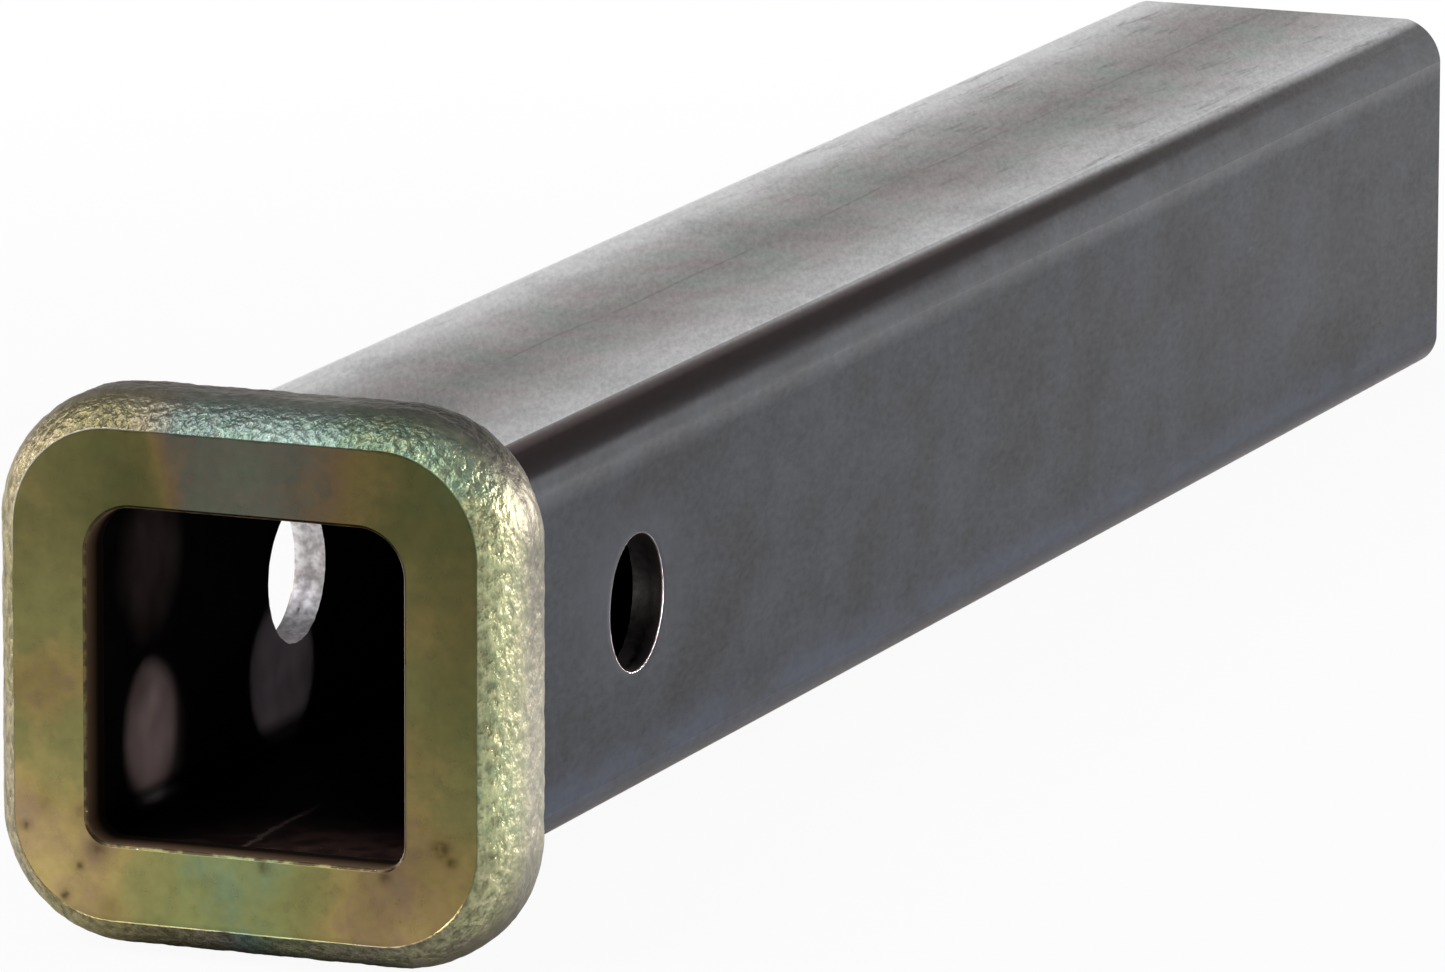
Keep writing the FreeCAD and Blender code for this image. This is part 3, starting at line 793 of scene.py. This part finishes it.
def makeTornSteel():
    # the punched holes' wall: grey steel, burnished by the punch and then torn in 0.7 mm grains; the right
    # hole's wall is painted dark as shade
    material, add = newMaterial("tornPunchedSteel")
    look = {"dark": "#a29e9c", "grey": "#c0bbbc", "bright": "#dcd8d8", "shadedWall": "#3c3836"}
    inMm = placeInMm(add)
    parts = add("SeparateXYZ", {0: inMm}, out=None)
    tears = add("TexNoise", {"Vector": inMm, "Scale": 1 / 0.7, "Detail": 3.0})
    torn = add("ValToRGB", {0: tears}, stops=[(0.32, look["dark"]), (0.5, look["grey"]),
                                              (0.68, look["bright"])])
    # painted light and shade: the wall is painted lighter above its middle and darker below it
    lower = add("MapRange", (parts["Z"], -5.0, -1.0, 0.6, 1.6))
    steel = add("VectorMath", {0: torn, "Scale": lower}, operation="SCALE")
    onRight = add("MapRange", (parts["X"], 0.0, 18.9))
    # painted shade: on the right hole's rounded edge the dark paint thins below the middle, so that the edge
    # shows its highlight only there
    edgeShadeShare = add("MapRange", (parts["Z"], 4.0, -1.0, 0.97, 0.62))
    inside = add("MapRange", (parts["X"], tubeSizes["half"], tubeSizes["half"] - 0.2, edgeShadeShare))
    rightWallShade = add("Math", (onRight, inside), operation="MULTIPLY")
    colour = add("Mix", {0: rightWallShade, 6: steel, 7: look["shadedWall"]}, data_type="RGBA", out=2)
    bump = add("Bump", {"Strength": 0.5, "Distance": 0.03 * mm, "Height": tears})
    return finishMetal(material, add, {"Base Color": colour, "Roughness": 0.5, "Normal": bump})


def makeYellowZinc():
    # Zinc plate with a yellow chromate film: thin-film colours that drift from olive through gold and rose
    # to green, satin on the faced front, glittering on the forged skin, browner inside the opening
    material, add = newMaterial("yellowChromateZinc")
    filmColours = [(0.0, "#5b664b"), (0.08, "#62653f"), (0.16, "#67653e"), (0.25, "#6f6a42"),
                   (0.36, "#86764a"), (0.46, "#7f6b50"), (0.56, "#6a685c"), (0.7, "#64705c")]
    skinColours = [(0.12, "#a09c6c"), (0.25, "#aca478"), (0.36, "#b8ac8e"), (0.46, "#aca48a"),
                   (0.56, "#989a8a"), (0.66, "#8a9d94"), (0.75, "#869e84"), (0.85, "#a3aa82"),
                   (0.93, "#b6b68e"), (1.0, "#b0a496")]
    look = {"stain": "#4a3c26", "inside": "#a08468", "deep": "#2a211a", "burnt": "#6a6358",
            "chip": "#d8d4c8", "outer": "#aeaaa0", "litEdge": "#cabfb0", "dullEdge": "#4c4230",
            "glint": "#f2ead8"}
    inMm = placeInMm(add)
    parts = add("SeparateXYZ", {0: inMm}, out=None)
    film, toneAndLight, stain, rimFilm, rimToneAndLight, forged, outer, wall = [
        add("Attribute", attribute_name=name, out="Fac")
        for name in ("film", "toneAndLight", "stain", "rimFilm", "rimToneAndLight", "forged", "outer", "wall")]

    # the film drifts by patches of 3 mm and mottles by spots of 1.2 mm
    drift = add("TexNoise", {"Vector": inMm, "Scale": 1 / 3.2, "Detail": 5.0, "Roughness": 0.65})
    moved = add("Math", (drift, 0.3, film), operation="MULTIPLY_ADD")
    phase = add("Math", (moved, 0.15), operation="SUBTRACT")
    faceColour = add("ValToRGB", {0: phase}, stops=filmColours)
    fine = add("TexNoise", {"Vector": inMm, "Scale": 1 / 1.2, "Detail": 4.0})
    wide = add("Math", (fine, 0.24, rimFilm), operation="MULTIPLY_ADD")
    skinPhase = add("Math", (wide, 0.12), operation="SUBTRACT")
    skinColour = add("ValToRGB", {0: skinPhase}, stops=skinColours)
    onSkin = add("MapRange", (forged, 0.0, 0.6))
    greyer = add("Math", (outer, 0.8), operation="MULTIPLY")
    skinOuter = add("Mix", {0: greyer, 6: skinColour, 7: look["outer"]}, data_type="RGBA", out=2)
    plate = add("Mix", {0: onSkin, 6: faceColour, 7: skinOuter}, data_type="RGBA", out=2)
    mottle = add("MapRange", (fine, 0.3, 0.7, 0.9, 1.1))
    # painted light and shade: the face is lighter towards its bottom, the rim darker along its bottom
    place = add("Mix", {0: onSkin, 2: toneAndLight, 3: rimToneAndLight}, data_type="FLOAT")
    even = add("Math", (place, mottle), operation="MULTIPLY")
    # the forged skin's rough grain: upright lumps 0.7 mm wide and 1 mm long, calmer on the outer side, and
    # dark with dirt between the lumps, with painted shade between them and painted light on their tops
    grainCells = add("Mapping", {"Vector": inMm, "Scale": (1 / 0.7, 1 / 0.7, 1.0)})
    grain = add("TexNoise", {"Vector": grainCells, "Scale": 1.0, "Detail": 2.0, "Roughness": 0.5})
    calm = add("MapRange", (outer, 0.08, 0.5, 1.0, 0.3))
    rise = add("Math", (onSkin, calm), operation="MULTIPLY")
    pitted = add("MapRange", (grain, 0.36, 0.58, 0.68, 1.2))
    shade = add("Mix", {0: rise, 2: 1.0, 3: pitted}, data_type="FLOAT")
    level = add("Math", (even, shade), operation="MULTIPLY")
    toned = add("VectorMath", {0: plate, "Scale": level}, operation="SCALE")

    # stains with ragged edges
    ragged = add("MapRange", (fine, 0.4, 0.6, 0.5, 1.2))
    stained = add("Math", (stain, ragged), operation="MULTIPLY")

    # brown film on the opening's wall, and chips of bare zinc along its broken edge
    reach = fromAxis(add, parts, "MAXIMUM")[0]
    inside = add("MapRange", (wall, 0.5, 0.9))
    # painted shade: the brown is darkened to near black over the wall's first 3 mm inwards
    shadeInward = add("MapRange", (parts["Y"], collarLow.y / mm + 0.3, collarLow.y / mm + 2.8))
    wallColourAndShade = add("Mix", {0: shadeInward, 6: look["inside"], 7: look["deep"]}, data_type="RGBA", out=2)
    chipNoise = add("TexNoise", {"Vector": inMm, "Scale": 1 / 0.7, "Detail": 1.0})
    chipHere = add("MapRange", (chipNoise, 0.7, 0.76))
    low = add("Math", (parts["Z"], -13.0), operation="LESS_THAN")
    chipLow = add("Math", (chipHere, low), operation="MULTIPLY")
    # painted highlight: the right broken edge is painted light
    onEdge = add("MapRange", (wall, 0.02, 0.1))
    offWall = add("Math", (wall, 0.97), operation="LESS_THAN")
    rightEdgeLit = add("MapRange", (parts["X"], 15.0, 15.7, 0.0, 0.8))
    edgeBand = add("Math", (onEdge, offWall), operation="MULTIPLY")
    edgeHighlight = add("Math", (edgeBand, rightEdgeLit), operation="MULTIPLY")
    chips = add("Math", (edgeBand, chipLow), operation="MULTIPLY")
    dull = add("Math", (edgeBand, ragged), operation="MULTIPLY")

    # painted highlight: the crease at the upper left corner is painted bright
    onCrease = add("MapRange", (forged, 0.1, 0.3))
    offSkin = add("Math", (forged, 0.9), operation="LESS_THAN")
    lean = add("Math", (parts["Z"], parts["X"]), operation="SUBTRACT")
    cornerHere = add("MapRange", (lean, 32.0, 38.0))
    creaseGlint = whereAll(add, onCrease, offSkin, cornerHere)

    # zinc burnt grey by the weld, on the back
    toWeld = add("MapRange", (reach, 24.5, 22.3))
    behind = add("Math", (parts["Y"], collarHigh.y / mm - 1.5), operation="GREATER_THAN")
    burntHere = add("Math", (toWeld, behind), operation="MULTIPLY")

    # all of these over one another
    colour = toned
    for share, over in ((stained, look["stain"]), (inside, wallColourAndShade), (dull, look["dullEdge"]),
                        (chips, look["chip"]), (edgeHighlight, look["litEdge"]), (creaseGlint, look["glint"]),
                        (burntHere, look["burnt"])):
        colour = add("Mix", {0: share, 6: colour, 7: over}, data_type="RGBA", out=2)

    faceRough = add("MapRange", (fine, 0.3, 0.7, 0.26, 0.34))
    plateRough = add("Mix", {0: onSkin, 2: faceRough, 3: 0.48}, data_type="FLOAT")
    rough = add("Mix", {0: inside, 2: plateRough, 3: 0.75}, data_type="FLOAT")
    depth = add("Math", (grain, rise), operation="MULTIPLY")
    bump = add("Bump", {"Strength": 1.0, "Distance": 0.55 * mm, "Height": depth})
    return finishMetal(material, add, {"Base Color": colour, "Roughness": rough, "Normal": bump})


def makeWeldSteel():
    # weld metal as laid: silver grey ripples with brown and blue oxide in the valleys and along the toes
    material, add = newMaterial("asLaidWeldSteel")
    look = {"silver": "#8a8783", "grey": "#56524e", "brown": "#4a3a2c", "blue": "#454c60"}
    inMm = placeInMm(add)
    spots = add("TexNoise", {"Vector": inMm, "Scale": 1 / 1.4, "Detail": 5.0})
    across = add("Attribute", attribute_name="across", out="Fac")
    steel = add("ValToRGB", {0: spots}, stops=[(0.32, look["brown"]), (0.45, look["grey"]),
                                               (0.62, look["silver"])])
    toe = add("MapRange", (across, 0.7, 1.0, 0.0, 0.7))
    colour = add("Mix", {0: toe, 6: steel, 7: look["blue"]}, data_type="RGBA", out=2)
    rough = add("MapRange", (spots, 0.3, 0.7, 0.5, 0.3))
    bump = add("Bump", {"Strength": 0.5, "Distance": 0.03 * mm, "Height": spots})
    return finishMetal(material, add, {"Base Color": colour, "Roughness": rough, "Normal": bump})


makeTube([makeMillScale(), makeCutSteel(), makeBoreScale(), makeTornSteel()])
print("tube made")
makeCollar(makeYellowZinc())
print("collar made")
makeWeld(makeWeldSteel())
print("weld made")


# Studio: a pale floor under the two edges that the part rests on, a white card behind, a white surround with
# a dim gap above the card and a soft white ceiling. Sizes in m.
studio = {
    "floorRadius": 0.42, "floorSteps": 96, "floorCentre": (0.02, 0.02), "fadeFrom": 0.2, "fadeTo": 0.4,
    "floorColour": "#e9e9e8", "floorGlow": 0.94, "mirroredGlow": 0.74,
    # painted shadow: a dim ellipse where the collar keeps the light off, seen only where the floor is
    # mirrored
    "collarShadow": (0.03, 0.011), "collarShadowY": -0.04,
    "cardY": 3.7, "cardGlow": 0.76,
    # the card's corners as x and z: its top edge falls to the right, so the tube's corner mirrors it only in
    # part
    "cardCorners": [(-4.1, -0.35), (4.0, -0.35), (4.0, 0.52), (1.71, 0.55), (1.49, 0.82), (1.06, 1.16),
                    (0.43, 1.38), (-0.04, 1.46), (-0.67, 1.46), (-4.1, 1.46)],
    # painted shadow beside and under the tube: how the floor is mirrored, by the distance from the tube's
    # middle as a share of 50 mm
    "tubeShadow": [(0.32, "#343434"), (0.4, "#949494"), (0.54, "#f0f0f0"), (0.68, "#fcfcfc"),
                 (0.88, "#ffffff")],
}
# the surround's grey by the sine of the elevation, from straight down to straight up
surround = [(-1.0, "#ffffff"), (0.1, "#ffffff"), (0.2, "#6c5f5d"), (0.62, "#6c5f5d"), (0.78, "#9fa2a6"),
            (1.0, "#9fa2a6")]
# lamps: where they stand as a direction from the part, distance and size in m, power in W, colour
lamps = [
    ("ceilingLamp", (-0.35, -0.45, 0.82), 1.5, 1.1, 9.0, "#f4f8ff"),
    ("rightLamp", (0.687, 0.699, 0.197), 1.4, 0.1, 12.0, "#fff4ee"),
    ("frontRightLamp", (0.958, 0.105, 0.25), 1.4, 0.1, 2.0, "#fff4f2"),
    ("leftLamp", (-0.909, -0.206, 0.342), 1.3, 0.25, 4.0, "#fff8ea"),
]
# three narrow beams that fall through the right pin hole on the bore's left wall: direction that they come
# from, distance, size and reach at the hole in m, power in W, colour
beams = [
    ("rearBeam", (0.687, 0.699, 0.170), 0.2, 0.007, 0.0060, 13.0, "#fff0ee"),
    ("frontBeam", (0.958, 0.105, 0.25), 0.2, 0.006, 0.010, 6.0, "#f8f2ff"),
    ("lowBeam", (0.687, 0.699, -0.16), 0.13, 0.006, 0.007, 0.45, "#fff0ee"),
]


def restPlane():
    # the floor passes through the collar's lowest edge and the tube's rear lower edge
    touchFront = Vector((0, collarHigh.y - collarSizes["backRadius"] * mm, collarLow.z))
    touchRear = Vector((0, tubeHigh.y, tubeLow.z))
    slope = (touchRear.z - touchFront.z) / (touchRear.y - touchFront.y)
    return touchFront, slope


def makeFloor():
    touch, slope = restPlane()
    shape = bmesh.new()
    centreX, centreY = studio["floorCentre"]
    ring = []
    for angle in spread(0.0, 2 * math.pi, studio["floorSteps"])[:-1]:
        x = centreX + studio["floorRadius"] * math.cos(angle)
        y = centreY + studio["floorRadius"] * math.sin(angle)
        ring.append(shape.verts.new((x, y, touch.z + slope * (y - touch.y))))
    shape.faces.new(ring)
    material, add = newMaterial("paleFloorPaint")
    path = add("LightPath", out=None)
    coords = add("TexCoord", out="Object")
    gap = add("VectorMath", (coords, (centreX, centreY, 0)), operation="DISTANCE", out="Value")
    glow = add("MapRange", (gap, studio["fadeFrom"], studio["fadeTo"], studio["floorGlow"], 1.0),
               interpolation_type="SMOOTHSTEP")
    # painted shadows, seen only in the floor's reflections: dim under the collar and beside the tube
    reachX, reachY = studio["collarShadow"]
    under = add("Mapping", {"Vector": coords, "Location": (0, -studio["collarShadowY"] / reachY, 0),
                            "Scale": (1 / reachX, 1 / reachY, 0)})
    fromUnder = add("VectorMath", {0: under}, operation="LENGTH", out="Value")
    clear = add("MapRange", (fromUnder, 0.8, 1.8), interpolation_type="SMOOTHSTEP")
    aside = add("SeparateXYZ", {0: coords}, out="X")
    fromTube = add("Math", {0: aside}, operation="ABSOLUTE")
    besideShare = add("MapRange", (fromTube, 0.0, 0.05))
    beside = add("ValToRGB", {0: besideShare}, stops=studio["tubeShadow"])
    dim = add("Math", (clear, beside), operation="MULTIPLY")
    dimmer = add("Math", (dim, studio["mirroredGlow"]), operation="MULTIPLY")
    mirrored = add("Math", (path["Is Glossy Ray"], dimmer), operation="MULTIPLY")
    seen = add("Math", (path["Is Camera Ray"], mirrored), operation="MAXIMUM")
    shown = add("Math", (seen, path["Is Transmission Ray"]), operation="MAXIMUM")
    share = add("Math", (shown, glow), operation="MULTIPLY")
    paint = add("BsdfDiffuse", {"Color": studio["floorColour"]})
    white = add("Emission", {"Color": (1, 1, 1, 1), "Strength": 1.0})
    mixed = add("MixShader", (share, paint, white))
    add("OutputMaterial", {0: mixed})
    floor = meshObject(shape, "paleFloor", [material])


def makeCard():
    # white card behind the part that its glossy faces mirror; the camera looks past it
    shape = bmesh.new()
    shape.faces.new([shape.verts.new((x, studio["cardY"], z)) for x, z in studio["cardCorners"]])
    material, add = newMaterial("whiteCardBoard")
    white = add("Emission", {"Color": (1, 1, 1, 1), "Strength": studio["cardGlow"]})
    add("OutputMaterial", {0: white})
    card = meshObject(shape, "whiteCard", [material])
    card.visible_camera = False
    card.visible_shadow = False


def placeLamp(lamp, aim, direction, distance, power, colour):
    lamp.energy = power
    lamp.color = linearColour(colour)[:3]
    holder = addObject(lamp.name, lamp)
    holder.location = aim + Vector(direction).normalized() * distance
    holder.rotation_mode = "QUATERNION"
    holder.rotation_quaternion = (aim - holder.location).to_track_quat("-Z", "Y")
    holder.visible_camera = False


def makeLamps():
    mouth = Vector((0, collarLow.y, 0))
    for name, direction, distance, size, power, colour in lamps:
        lamp = bpy.data.lights.new(name, "AREA")
        lamp.shape = "DISK"
        lamp.size = size
        placeLamp(lamp, mouth, direction, distance, power, colour)
    pinHole = Vector((tubeHigh.x, 0, 0))
    for name, direction, distance, size, reach, power, colour in beams:
        lamp = bpy.data.lights.new(name, "SPOT")
        lamp.spot_size = 2 * math.atan(reach / distance)
        lamp.spot_blend = 0.6
        lamp.shadow_soft_size = size
        placeLamp(lamp, pinHole, direction, distance, power, colour)


def makeSurround():
    world = bpy.data.worlds.new("studioSurround")
    bpy.context.scene.world = world
    world.use_nodes = True
    world.node_tree.nodes.clear()
    add = partial(addNode, world.node_tree)
    direction = add("TexCoord", out="Generated")
    height = add("SeparateXYZ", {0: direction}, out="Z")
    share = add("MapRange", (height, -1.0, 1.0))
    stops = [((sine + 1) / 2, colour) for sine, colour in surround]
    grey = add("ValToRGB", {0: share}, stops=stops)
    light = add("Background", {"Color": grey, "Strength": 1.0})
    add("OutputWorld", {0: light})


makeFloor()
makeCard()
makeLamps()
makeSurround()
bpy.context.scene.view_settings.view_transform = "Standard"
print("studio made")
